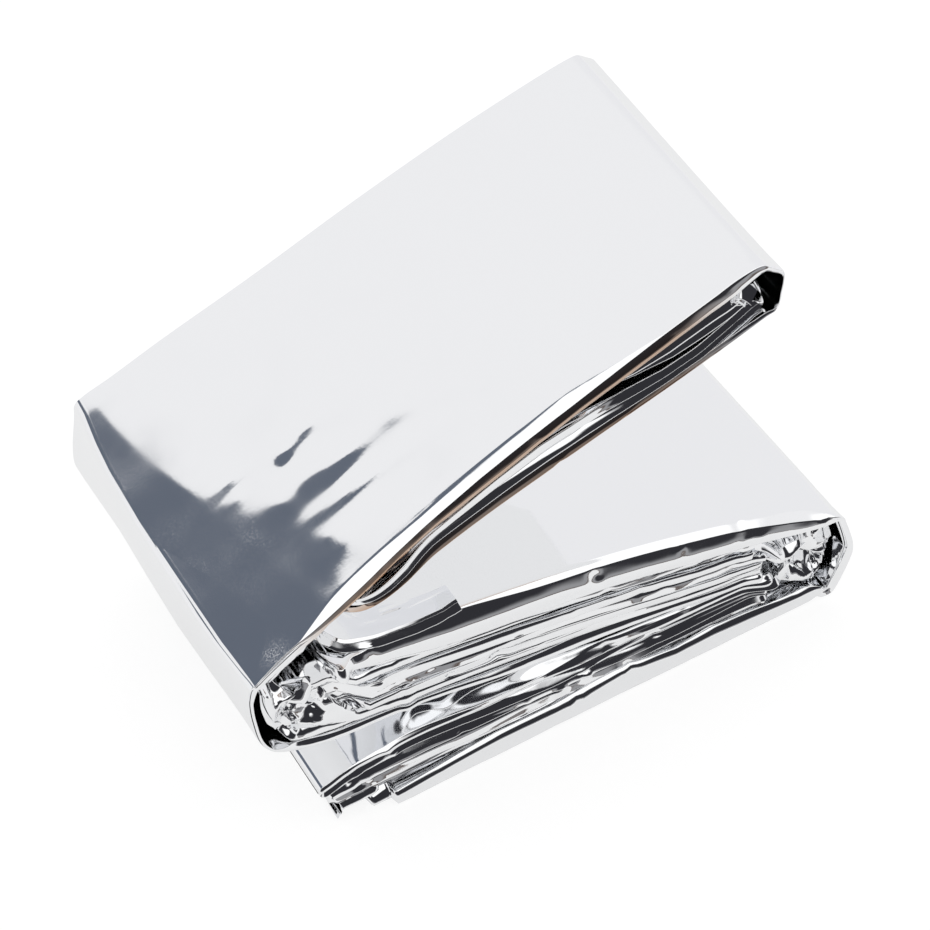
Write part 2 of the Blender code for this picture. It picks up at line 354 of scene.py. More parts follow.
# How much further a layer's film reaches at the near edge, outwards and inwards, and how deep
# that lasts.
Reach = namedtuple("Reach", "at outwards inwards")
REACH_DEPTH = 5.0
REACHES = tables(Reach, {
    ("cover", "leaf_1"): [(17, 0, -0.3), (30, 0, -0.2), (46, 0, 0.5), (99, 0, 0.6), (106, 0, -0.5)],
    ("lining", "leaf_1"): [
        (17, -0.3, -0.2), (36, -0.6, -0.9), (60, -0.6, -1.1), (72, -0.5, -0.6), (85, -0.6, 2.4),
        (104, -0.6, 2.6),
    ],
    ("skin", "leaf_1"): [
        (17, 0, -0.5), (36, 1.1, -1.4), (60, 1.8, -1.3), (74, 0.6, -0.8), (85, -1.3, -0.2),
        (104, -2.3, 0),
    ],
    ("flap", "leaf_1"): [(17, 0, 0), (36, 1, -0.2), (60, 1.4, -0.2), (85, 0.3, 0), (104, -0.3, -0.1)],
    ("cover", "spine"): [(25, 0, -0.6), (44, 0, -0.6), (48, 0, 0.3), (53, 0, 0.3)],
    ("lining", "spine"): [(27, 2.4, 8.5), (32, 1.4, 7.6), (36, 0.3, 5.2), (40, 0.1, 2.4), (45, 0, 0)],
    ("lining", "leaf_2"): [(6, 0.3, 9), (12, 0, 8), (18, 0, 0)],
    ("cover", "leaf_2"): [(48, 0, 0), (64, 0.6, 0), (90, 0.4, 0)],
    ("skin", "leaf_2"): [
        (14, 0, 0), (34, 2.6, 0), (57, 2.4, 0), (85, 1.7, 0), (104, 0.5, 0), (118, -0.4, 0),
    ],
    ("core_4", "leaf_2"): [(98, 0, 0), (106, 2.5, 0), (112, 6, 0)],
    ("core_4", "nose"): [(6, 7.5, 1.6), (13, 8.5, 2.2), (18, 8, 1.8)],
    ("skin", "nose"): [(5, 0.3, 0), (13, 0.5, 0), (20, 0.5, 0)],
    ("core_4", "leaf_3"): [(16, 0.6, 0.6), (22, 0.6, 0.6), (24, 0, 0), (104, 0, 0), (112, 4, 0)],
    ("core_3", "leaf_3"): [(9, 0.9, 0.1), (19, 0.9, 0.1), (22, 0, 0)],
    ("core_2", "leaf_3"): [(14, 0, 0), (24, 0, 0.9), (60, 0, 1), (72, 0, 0.3), (95, 0, 0.2)],
    ("skin", "leaf_3"): [
        (20, 1.4, 0), (32, 2.5, 0), (45, 4.2, 0), (58, 4.1, 0), (72, 5.3, 0), (86, 3.4, 0), (95, 4, 0),
        (104, 3.2, 0), (115, 2, 0),
    ],
})

# How much further in the near edge is tucked.
Tuck = namedtuple("Tuck", "at depth")
TUCKS = tables(Tuck, {
    ("lining", "leaf_1"): [(17, 3), (30, 0), (64, 0), (78, -2.2), (90, -2.6), (100, -2.8)],
    ("skin", "leaf_1"): [(17, 2), (30, 0), (92, 0), (104, 1.5)],
    ("flap", "leaf_1"): [(17, 1.6), (30, 0)],
    ("skin", "leaf_3"): [(21.3, 7.5), (21.9, 0)],
    ("core_4", "leaf_3"): [(16.8, 0), (17.2, -4.6), (21.6, -4.6), (22.6, 0)],
    ("core_3", "leaf_3"): [(8, -3.4), (19, -3.4), (21, 0), (108, 0), (112, 6)],
    ("core_1", "leaf_2"): [(17, 4.5), (20, 0), (106, 0), (110, 7)],
    ("core_2", "leaf_2"): [(17, 4), (21, 0), (107, 0), (111, 7)],
    ("core_3", "leaf_2"): [(15, 4), (19, 0), (104, 0), (109, 7)],
    ("core_4", "leaf_2"): [(14, 3.5), (18, 0)],
    ("lining", "leaf_2"): [(106, 0), (110, 6)],
    ("cover", "leaf_2"): [(106, 0), (110, 6)],
    ("core_1", "leaf_3"): [(108, 0), (112, 6)],
    ("core_2", "leaf_3"): [(108, 0), (112, 6)],
})

# The front of a fold: an upright face over this share of its height, with its lean back in
# degrees, then a slope leaning by so much. First the fold on the outer side, then the other.
# The tip is the share of the layer's thickness in the fold on the outer side.
Front = namedtuple("Front", "face lean slope")
FRONTS = tables(Front, {
    "leaf_1": [(0.4, 6, 42), (0.4, 6, 42)],
    "spine": [(0.8, 4, 40), (0.8, 4, 40)],
    "leaf_2": [(0.4, 10, 44), (0.55, 6, 46)],
    "nose": [(0.9, 0, 30), (0.9, 0, 30)],
    "leaf_3": [(0.3, 24, 46), (0.3, 20, 44)],
})
FRONTS_OF = tables(Front, {
    ("cover", "leaf_1"): [(0.16, 6, 37), (0.7, 12, 30)],
    ("lining", "leaf_1"): [(0.3, 24, 40), (0.2, 20, 46)],
    ("skin", "leaf_1"): [(0.92, 3, 40), (0.06, 10, 46)],
    ("flap", "leaf_1"): [(0.35, 25, 31), (0.2, 20, 44)],
    ("lining", "spine"): [(0.9, 2, 30), (1, 0, 10)],
    ("core_4", "leaf_2"): [(0.4, 10, 44), (0.32, 6, 46)],
    ("core_1", "leaf_2"): [(0.75, 8, 44), (0.9, 6, 46)],
    ("core_2", "leaf_2"): [(0.5, 8, 44), (0.7, 22, 46)],
    ("core_3", "leaf_2"): [(0.8, 10, 44), (0.85, 8, 46)],
    ("skin", "leaf_2"): [(0.7, 10, 44), (0.6, 4, 47)],
    ("core_4", "nose"): [(1, 0, 10), (1, 0, 10)],
    ("skin", "leaf_3"): [(0.74, 1, 46), (0.9, 0, 40)],
    ("core_2", "leaf_3"): [(0.7, 29, 46), (0.8, 26, 42)],
    ("core_1", "leaf_3"): [(0.5, 30, 46), (0.7, 27, 46)],
    ("lining", "leaf_3"): [(0.1, 26, 45), (0.2, 28, 45)],
    ("cover", "leaf_3"): [(0.5, 6, 44), (0.35, 8, 44)],
})
LOOSE_FRONTS = (Front(0.1, 20, 45), Front(0.1, 20, 47))
TIPS = {"leaf_1": 0.7, "spine": 0.3, "leaf_2": 0.22, "nose": 0.8, "leaf_3": 0.75}
TIPS_OF = {
    ("cover", "leaf_1"): 0.8, ("skin", "leaf_1"): 0.46, ("flap", "leaf_1"): 0.8,
    ("lining", "spine"): 0.12, ("lining", "leaf_2"): 0.2,
    ("core_4", "nose"): 0.93, ("skin", "nose"): 0.15, ("skin", "leaf_3"): 0.93,
}
LOOSE_TIP = 0.75

# How much further the faces of a layer's near folds lean back, in degrees.
Lean = namedtuple("Lean", "at more")
LEANS = tables(Lean, {
    ("lining", "leaf_1"): [(50, 0), (62, 10), (74, 15)],
    ("skin", "leaf_1"): [(66, 0), (78, 30), (100, 34)],
})

# How uneven the near folds are: the swing of their lean in degrees, of their face's share, of
# the place of their edge in mm, and the depth in mm of the long creases along them.
Uneven = namedtuple("Uneven", "lean face edge streak")
UNEVEN = {
    "leaf_1": Uneven(2.5, 0.04, 0.1, 0.25), "spine": Uneven(10, 0.12, 0.2, 0.3),
    "leaf_2": Uneven(6, 0.15, 0.2, 0.55), "nose": Uneven(12, 0.15, 0.3, 0.5),
    "leaf_3": Uneven(5, 0.12, 0.18, 0.55),
}
UNEVEN_OF = {
    ("skin", "leaf_2"): Uneven(2, 0.05, 0.12, 0.12),
    ("skin", "leaf_3"): Uneven(3, 0.06, 0.12, 0.15),
    ("cover", "leaf_1"): Uneven(2, 0.03, 0.08, 0.08),
    ("lining", "leaf_1"): Uneven(2.5, 0.04, 0.1, 0.18),
    ("cover", "spine"): Uneven(3, 0.05, 0.1, 0.1),
}
LOOSE_UNEVEN = Uneven(6, 0.1, 0.15, 0.4)
STREAK_LENGTH = 13.0    # how much longer than tall the long creases' facets are

# Where the film is crushed: the place in the section, how wide it is and how far points move.
Crush = namedtuple("Crush", "x z radius strength")
CRUSHES = table(Crush, [
    (8, 30, 6, 0.7), (16.7, 37.8, 1.6, 1.3), (21.6, 40.4, 1.6, 1.3), (21.9, 31.5, 1.8, 1.2),
    (27.8, 27.3, 1.5, 1.3), (28.5, 21.3, 1.5, 1.2), (15, 28, 3, 1), (20, 35, 1.6, 1),
    (26, 33.5, 1.4, 0.9), (34, 29, 1.2, 0.9), (30, 24.5, 1.4, 1.1), (38, 24.6, 1.2, 0.9),
    (48, 24, 1.6, 1.1), (52, 26.4, 1.3, 1), (57, 22, 1.3, 0.9), (64, 26, 1.4, 1), (72, 27.5, 1.4, 0.9),
    (78, 24, 1.6, 0.9), (84, 22, 1.5, 0.9), (92, 25, 1.8, 1), (97, 20.5, 1.6, 0.9), (36, 43, 3, 0.5),
    (110, 17.5, 4, 1.6), (117, 13, 6, 0.8), (104, 24, 2.6, 1.4), (100, 20, 2.6, 1.2), (114, 7, 2, 1),
    (121, 22, 1.6, 1), (124.5, 20.5, 1.4, 1), (102, 28.5, 1.3, 1.2), (102, 26.2, 1.5, 1.3),
    (88, 30.5, 0.9, 0.8), (69, 33, 1.2, 1.3), (63.5, 3.5, 1.6, 1.6), (75, 4.5, 1.8, 1.7),
    (71, 13, 1.4, 1.5), (60, 7.5, 1.2, 1), (52, 9, 1.2, 0.9), (66, 8.5, 1.2, 1), (82, 9.5, 1.3, 0.9),
    (38, 10.5, 1.2, 0.9), (90, 11, 1.5, 0.9), (60, 74.6, 2.4, 0.18), (65, 76.8, 2.4, 0.18),
    (103, 88, 5, 0.5), (62.3, 67, 1, 0.5), (15, 9, 4, 0.6), (22, 13, 2, 1.2),
])
CRUSH_DEPTH = 6.0
CRUSH_FACETS = ((11, 5.5, 0.75), (21, 2.0, 0.5))  # seed, size in mm and share
CRUSH_AXES = ((0, 0.5), (1, 1.0), (2, 0.5))  # how far along x, depth and z
EVERYWHERE = 0.05     # how far points of the near folds move elsewhere

# The crushed ends as flat facets between listed corners: their place in the section and how
# far back they lie. They move the near folds of one layer, down to CORNER_DEPTH.
Corner = namedtuple("Corner", "x z back")
CRUSHED_ENDS = tables(Corner, {
    "lining": [
        (-5, 45, 0), (-5, 34, 0), (-4, 24, 0), (4, 20, 0), (24, 20, 0), (24, 46, 2), (6, 50, 8),
        (0.8, 41.4, 0.6), (0.9, 37.5, 0), (0.6, 33.4, 0), (4.2, 26, 0), (5.2, 24.6, 0), (2, 42.6, 6.5),
        (1.6, 39.9, 3.4), (3.8, 39.2, 3.2), (7.4, 40.4, 4.4), (8.2, 43.1, 6.8), (2.6, 38.4, 0.8),
        (4.3, 38.3, 0.6), (7.2, 38.7, 1), (9.4, 40.2, 1.8), (13, 41, 2.2), (4.4, 37.6, 1.2),
        (4.5, 35.2, 2.4), (2.6, 34.9, 1), (2.8, 33.4, 1.4), (5.2, 36.6, 3.8), (9.8, 37.6, 4.6),
        (10.3, 34.7, 2.6), (7.6, 33.3, 1.8), (5.2, 31.5, 5.4), (10.8, 29.3, 3.6), (8.2, 25.8, 0.6),
        (7, 27.4, 2.2), (1.8, 30.9, 0.2), (4.5, 30.8, 0.2), (8.1, 23.8, 0), (6, 24.7, 0),
        (3.4, 28.2, 3.4), (7.2, 23.1, 0.4), (17, 34.6, 5.4), (11, 34.4, 5), (11.6, 29.4, 0.8),
        (13.6, 38.4, 2.8), (15.6, 31.4, 1.8), (17.5, 29, 0.6), (20, 36, 1.2),
    ],
    "core_4": [
        (100, 24, 0), (100, 6, 0), (108, 0, 0), (124, -1, 0), (130, 6, 0), (130, 22, 1), (112, 26, 1),
        (114.1, 7.4, -0.4), (121, 2.8, 0), (113.8, 8.9, 3.4), (120.3, 10.2, 6), (109.8, 10.2, 0.4),
        (113.4, 10.2, 0.8), (120.7, 11.2, 0.2), (112, 15, 0.4), (116.4, 13, 1.8), (115.6, 16.4, 0.4),
        (119.4, 14.6, 1), (121.2, 19.2, 1.2), (118.2, 21, 2.4), (121.9, 10.9, 0.2), (125.4, 12.7, 1.6),
        (122.8, 18.7, 7), (124.2, 18, 1), (122.6, 5.6, 0.4), (124.4, 10.6, 3.4), (114.8, 20.2, 4.2),
        (117.4, 18.2, 3.2), (110.8, 20.6, 4), (107, 17.5, 0.4), (106, 22, 1.8),
    ],
})
CORNER_DEPTH = 12.0

# How far the bottom leaf's covering film swells up behind its near edge, and over what depth.
Rise = namedtuple("Rise", "at height depth")
RISES = table(Rise, [
    (16, 0, 7), (24, 1, 8), (30, 1.9, 7), (36, 1.4, 7), (42, 2.3, 7), (50, 2.1, 6), (56, 2.1, 5),
    (62, 2, 3.5), (70, 1.2, 2), (90, 0.8, 2),
])

# Soft ridges on the top leaf: from one end to the other in x and depth, half their width, and
# their height. They fan out from the near left corner.
Ridge = namedtuple("Ridge", "x0 y0 x1 y1 width height")
RIDGES = table(Ridge, [
    (8.8, 37.5, 17.1, 38.6, 1.2, 0.09), (9.5, 33.3, 14.2, 34.1, 1.5, 0.055),
    (22, 34.6, 33, 39.4, 1.8, 0.18), (15.4, 24.6, 36.4, 29.8, 4.2, 0.19),
    (23.9, 25.4, 46.6, 27.3, 3.4, 0.17), (19.8, 18.4, 47.6, 17.6, 2.2, 0.095),
    (21, 11.7, 33.6, 11.4, 1.6, 0.045), (28.9, 38.1, 44.1, 27.5, 3, 0.06),
    (38.6, 28, 66, 15.5, 3.4, 0.06), (30, 3.7, 74, 4.4, 1.2, 0.07), (60, 4.4, 112, 1.2, 1.2, 0.06),
    (7, 25.4, 12, 25, 0.8, -0.045), (-1.8, 9.5, 1.7, 10.5, 0.8, -0.15),
    (-0.8, 74, 1, 73.6, 0.9, -0.08),
])
# Soft bends of the top leaf: on the right of the line, going from its first end to the other, the
# film tilts down by an angle in degrees, and the bend is so soft in mm.
Bend = namedtuple("Bend", "x0 y0 x1 y1 angle soft")
BENDS = table(Bend, [
    (1.9, 70.2, 7.8, 35.5, 1.8, 0.3), (8.6, 34, 23.6, 6.8, 1.2, 0.7), (60, 75.8, 0, 75.8, 1.6, 0.3),
    (0, 22, 60, 22, -0.6, 6), (0, 6.5, 60, 6.5, -1.3, 0.8),
])
# Where the top leaf is scratched dull, in x and depth: its radius in mm and how strongly.
Dull = namedtuple("Dull", "x y radius amount")
DULL_PATCHES = table(Dull, [
    (3.4, 14.6, 5, 0.1), (3.4, -1, 3, 0.65), (0.4, 26, 4, 0.35), (0, 38, 6, 0.25), (-1, 54, 5, 0.2),
    (6, 12, 9, 0.18), (9, 24, 5, 0.18),
])
# How far the crease at the spine bows to the right, and the spine's face below it, by depth.
Bow = namedtuple("Bow", "y crease face")
BOWS = table(Bow, [
    (-6, -1, 0), (-1.5, -1, 0), (4, -1.2, 0), (10, -1.5, -0.2), (18, -1.7, -0.6), (30, -1.6, -1),
    (45, -1.7, -0.7), (60, -1.2, -0.2), (68, -0.5, -0.4), (76, 0.6, -0.6), (80, 0.8, -0.6),
])
LEAF_RISE = 0.446     # of the top leaf, for each mm to the right
BOW_FADE = (-1.0, 14.0)         # where along x the crease's bow fades out
# Heights over which each bow comes in.
CREASE_HEIGHTS, FACE_HEIGHTS = (33.0, 47.0), (26.0, 36.0)
LEAF_HEIGHTS = (47.5, 49.0)     # over which the spine passes into the top leaf's plane
RIDGE_DEPTHS = (0.5, 5.0)       # over which the ridges come in behind the near edge
RISE_SWING = 0.12               # how uneven the swell is
# On the loose flap.
FLAP_RIDGES = table(Ridge, [
    (25, 4.5, 33, 4, 0.5, 0.35), (30, 2.6, 41, 2.2, 0.5, 0.3), (21, 3, 29, 1.5, 0.7, 0.3),
    (18, 7, 27, 8.5, 0.6, 0.25),
])


def crush(points):
    """Moves the near folds' points (mm) as the crushed places say. Layers stay in their order."""
    x, depth, z = points[..., 0], points[..., 1], points[..., 2]
    strength = EVERYWHERE
    for place in CRUSHES:
        away = ((x - place.x) ** 2 + (z - place.z) ** 2) / place.radius ** 2
        strength = strength + place.strength * np.exp(-away)
    strength = strength * np.exp(-np.clip(depth, 0, None) / CRUSH_DEPTH)
    for axis, share in CRUSH_AXES:
        move = sum(part * facets(points, seed + axis, size) for seed, size, part in CRUSH_FACETS)
        points[..., axis] += share * strength * move
    return points


def facet_depths(corners, x, z):
    """How far back the facets between the corners lie at each x and z. It is 0 outside them all."""
    flat = [Vector((corner.x, corner.z)) for corner in corners]
    depths = np.zeros_like(x)
    for triangle in delaunay_2d_cdt(flat, [], [], 0, 1e-5)[2]:
        a, b, c = (corners[index] for index in triangle)
        area = (b.x - a.x) * (c.z - a.z) - (c.x - a.x) * (b.z - a.z)
        at_b = ((x - a.x) * (c.z - a.z) - (c.x - a.x) * (z - a.z)) / area
        at_c = ((b.x - a.x) * (z - a.z) - (x - a.x) * (b.z - a.z)) / area
        inside = (at_b >= 0) & (at_c >= 0) & (at_b + at_c <= 1)
        depths = np.where(inside, a.back + (b.back - a.back) * at_b + (c.back - a.back) * at_c, depths)
    return depths


def line_places(line, x, y):
    """The share of the way along a listed line, and the distance to its left."""
    length = math.hypot(line.x1 - line.x0, line.y1 - line.y0)
    ax, ay = (line.x1 - line.x0) / length, (line.y1 - line.y0) / length
    along = (x - line.x0) * ax + (y - line.y0) * ay
    return along / length, (y - line.y0) * ax - (x - line.x0) * ay


def bend_heights(bends, x, y):
    """Height of the film past listed bends, at x and depth y."""
    total = 0
    for bend in bends:
        aside = line_places(bend, x, y)[1]
        past = bend.soft * past_corner(-aside / bend.soft)
        total = total - math.tan(math.radians(bend.angle)) * past
    return total


def rise_height(x, depth):
    """How far the covering film swells up."""
    places = [rise.at for rise in RISES]
    height = np.interp(x, places, [rise.height for rise in RISES])[:, None]
    deep = np.interp(x, places, [rise.depth for rise in RISES])[:, None]
    return height * ramp(depth, 0.2, deep)


def ridge_heights(ridges, x, y):
    """Height of listed ridges at x and depth y. A ridge fades out towards its ends."""
    total = 0
    for ridge in ridges:
        t, aside = line_places(ridge, x, y)
        ends = ramp(t, -0.15, 0.15) * (1 - ramp(t, 0.45, 1.15))
        wide = ridge.width * (0.75 + 0.6 * np.clip(t, 0, 1))
        total = total + ridge.height * ends * np.exp(-(aside / wide) ** 2)
    return total


# ---- one run of film

# Columns of the film's cross-section, from the first panel to the last. The weight mixes panel k
# (1) with panel k + 1 (0). The anchor is "near", "far" or "middle", and the distance is in mm
# from that edge or the share of the way.
Column = namedtuple("Column", "panel weight anchor distance")
NEAR_ROWS = (0, 0.15, 0.35, 0.6, 0.9, 1.25, 1.6, 2, 2.4, 2.8, 3.3, 4, 5, 6.5, 9, 13)
FAR_ROWS = (0, 1.5, 4)
MIDDLE_ROWS = (0.28, 0.5, 0.72)
NEAR_PART, FAR_PART = 0.5, 0.2      # the most of the width that the near and far rows take
NEAR_STEPS, FAR_STEPS = 20, 4


def fold_columns(panel, anchor):
    steps = NEAR_STEPS if anchor == "near" else FAR_STEPS
    return [Column(panel, 1 - step / steps, anchor, 0.0) for step in range(1, steps)]


def panel_columns(panel, towards, fine):
    near = [Column(panel, 1.0, "near", at) for at in NEAR_ROWS]
    far = [Column(panel, 1.0, "far", at) for at in FAR_ROWS]
    shares = np.linspace(0.0, 1.0, fine + 2)[1:-1] if fine else MIDDLE_ROWS
    middle = [Column(panel, 1.0, "middle", share) for share in shares]
    columns = near + middle + far[::-1]
    return columns[::-1] if towards == "near" else columns


def film_columns(fine_panels):
    """The panels' columns, folded at the near edge, the far edge and the near edge."""
    columns = []
    for panel in range(PANELS):
        towards = "far" if panel % 2 else "near"
        columns += panel_columns(panel, towards, fine_panels.get(panel, 0))
        if panel < PANELS - 1:
            columns += fold_columns(panel, towards)
    return columns


PANELS = 4
GAP = 0.05              # from the split to the two middle panels
SMALL_FOLD_TUCK = 0.7   # of the thinner of a layer's two folds
CORNER = 0.06           # softness of a front's corner, as a share of its height
SLOPE_SHARE = 0.3       # how much of that further lean a face's slope takes back
ROLL_POWER = 1.25       # how a rolled edge curves
LEAN_LIMITS, SLOPE_LIMITS, FACE_LIMITS = (-30, 52), (15, 54), (0.03, 1.2)
WARM_MOST = 0.8         # of the warm tint at the top leaf's near edge
WARM_DEPTH = 1.5
WARM_FADE = (84.0, 102.0)   # where along x it fades out
FINE = {"cover": {0: 52}, "skin": {3: 56}}  # columns in the middle of a panel that shows
SEEDS = {run.layer: 100 + 10 * number for number, run in enumerate(COURSE)}


def looked_up(by_layer, layer, rows, field):
    """A listed value along the rows, from each region's table."""
    total = 0
    for number, region in enumerate(REGIONS):
        entries = by_layer.get((layer, region))
        if entries:
            at = rows[:, 1] if region in ("spine", "nose") else rows[:, 0]
            places = [entry.at for entry in entries]
            values = [getattr(entry, field) for entry in entries]
            total = total + rows[:, BASE + number] * np.interp(at, places, values)
    return total + 0 * rows[:, 0]


def by_region(rows, values, loose_value):
    """A value that differs by region, mixed along the course."""
    share = rows[:, BASE:]
    loose = np.clip(1 - share.sum(axis=1), 0, 1)
    return share @ np.array([values[region] for region in REGIONS]) + loose * loose_value


def uneven(layer, rows, field):
    """How uneven a layer's near folds are along the rows."""
    kinds = {region: UNEVEN_OF.get((layer, region), UNEVEN[region]) for region in REGIONS}
    values = {region: getattr(kind, field) for region, kind in kinds.items()}
    return by_region(rows, values, getattr(LOOSE_UNEVEN, field))


def fold_front(layer, rows, run_at, number, height, thick):
    """How far back a near fold's front lies at each height (0 is its lower edge)."""
    side = 1 - number if layer in INWARD_RUNS else number
    fronts = {region: FRONTS_OF.get((layer, region), FRONTS[region])[side] for region in REGIONS}
    parts = []
    for field in Front._fields:
        values = {region: getattr(front, field) for region, front in fronts.items()}
        parts.append(by_region(rows, values, getattr(LOOSE_FRONTS[side], field)))
    face, lean, slope = parts
    lean_swing, face_swing = uneven(layer, rows, "lean"), uneven(layer, rows, "face")
    more = looked_up(LEANS, layer, rows, "more")
    seed = SEEDS[layer] + 3 * number
    lean = lean + more + lean_swing * swing(run_at, seed, 20.0, 15.0)
    face = face + face_swing * swing(run_at, seed + 1, 24.0, 16.0)
    slope = slope - SLOPE_SHARE * more + 0.5 * lean_swing * swell(run_at, seed + 2, 22.0)
    low = np.tan(np.radians(np.clip(lean, *LEAN_LIMITS)))[:, None]
    high = np.tan(np.radians(np.clip(slope, *SLOPE_LIMITS)))[:, None]
    face = np.clip(face, *FACE_LIMITS)[:, None]
    past = CORNER * past_corner((height - face) / CORNER)
    along = run_at[:, None] / STREAK_LENGTH + 0 * height
    places = np.stack([along, thick[:, None] * height, 0 * height], axis=2)
    streaks = uneven(layer, rows, "streak")[:, None] * facets(places, seed + 40, 1.5)
    return thick[:, None] * (low * height + (high - low) * past) + streaks


def panel_levels(layer, rows, run_at):
    """Where the panels lie across the layer, deep inside and at the near edge."""
    tip = by_region(rows, {r: TIPS_OF.get((layer, r), TIPS[r]) for r in REGIONS}, LOOSE_TIP)
    tip = np.clip(tip + 0.08 * swell(run_at, SEEDS[layer] + 5, 20.0), 0.05, 0.95)
    outwards, inwards = rows[:, 5], rows[:, 6]
    levels = []
    for extra in (0, 1):
        out = outwards + extra * looked_up(REACHES, layer, rows, "outwards")
        back = inwards + extra * looked_up(REACHES, layer, rows, "inwards")
        split = out - tip * (out + back)
        if layer in INWARD_RUNS:
            levels.append(np.array([back, -split + GAP, -split - GAP, -out]))
        else:
            levels.append(np.array([out, split + GAP, split - GAP, -back]))
    return levels


def near_edges(layer, rows, run_at, panel, weight, levels, upright):
    """Depth of the near folds in each row and column, and of the edge before it wanders."""
    seed = SEEDS[layer] + 20
    thick = np.array([levels[0] - levels[1], levels[2] - levels[3]])
    tucked = rows[:, 2] + looked_up(TUCKS, layer, rows, "depth")
    edge_swing = uneven(layer, rows, "edge")
    edges, backs = [], []
    for number in range(2):
        up = np.where(panel == 2 * number, weight, 0.0)[None, :]
        height = 0.5 + (up - 0.5) * upright
        backs.append(fold_front(layer, rows, run_at, number, height, thick[number]))
        kinks = zigzag(run_at, seed + 10 + number, 9.0)
        wander = edge_swing * (swell(run_at, seed + number, 26.0) + 0.5 * kinks)
        smaller = ramp(thick[1 - number] / np.maximum(thick[number], 0.1), 1.0, 2.5)
        edges.append(tucked + wander + SMALL_FOLD_TUCK * smaller)
    folds = panel // 2
    return np.array(edges)[folds].T + np.where(folds == 0, backs[0], backs[1]), tucked


def column_depths(rows, edge, columns):
    """Depth of each column in each row, from the near edge to the far one."""
    near, far = rows[:, 2:3], rows[:, 3:4]
    distance = np.array([column.distance for column in columns])
    anchor = np.array([column.anchor for column in columns])
    near_share = np.minimum(1, NEAR_PART * (far - near) / NEAR_ROWS[-1])
    far_share = np.minimum(1, FAR_PART * (far - near) / FAR_ROWS[-1])
    inside_near, inside_far = edge + NEAR_ROWS[-1] * near_share, far - FAR_ROWS[-1] * far_share
    y_near, y_far = edge + distance * near_share, far - distance * far_share
    y_middle = inside_near + (inside_far - inside_near) * distance
    return np.where(anchor == "near", y_near, np.where(anchor == "far", y_far, y_middle))


def rolled(layer, rows, depth):
    """How far the near edge rolls over across the layer."""
    starts = looked_up(ROLLS, layer, rows, "depth")[:, None]
    drops = looked_up(ROLLS, layer, rows, "drop")
    bent = np.clip(1 - depth / np.maximum(starts, 0.1), 0, 1) ** ROLL_POWER
    side = 1 if layer in INWARD_RUNS else -1
    total = 0
    for number, region in enumerate(REGIONS):
        if (layer, region) in ROLLS:
            inward = 1 if STACK[region][layer].share < 0.5 else -1
            here = rows[:, BASE + number] > 0
            total = total + side * inward * (drops * here)[:, None] * bent
    return total


def bowed(x, z, y):
    """How far the cover bows to the right at the spine's crease and on the face below it."""
    by_depth = [bow.y for bow in BOWS]
    above = ramp(z, *CREASE_HEIGHTS)
    at_crease = ((1 - ramp(x, *BOW_FADE)) * above)[:, None]
    on_face = ramp(z, *FACE_HEIGHTS)[:, None] * (1 - above)[:, None]
    bow = at_crease * np.interp(y, by_depth, [bow.crease for bow in BOWS])
    return bow + on_face * np.interp(y, by_depth, [bow.face for bow in BOWS])


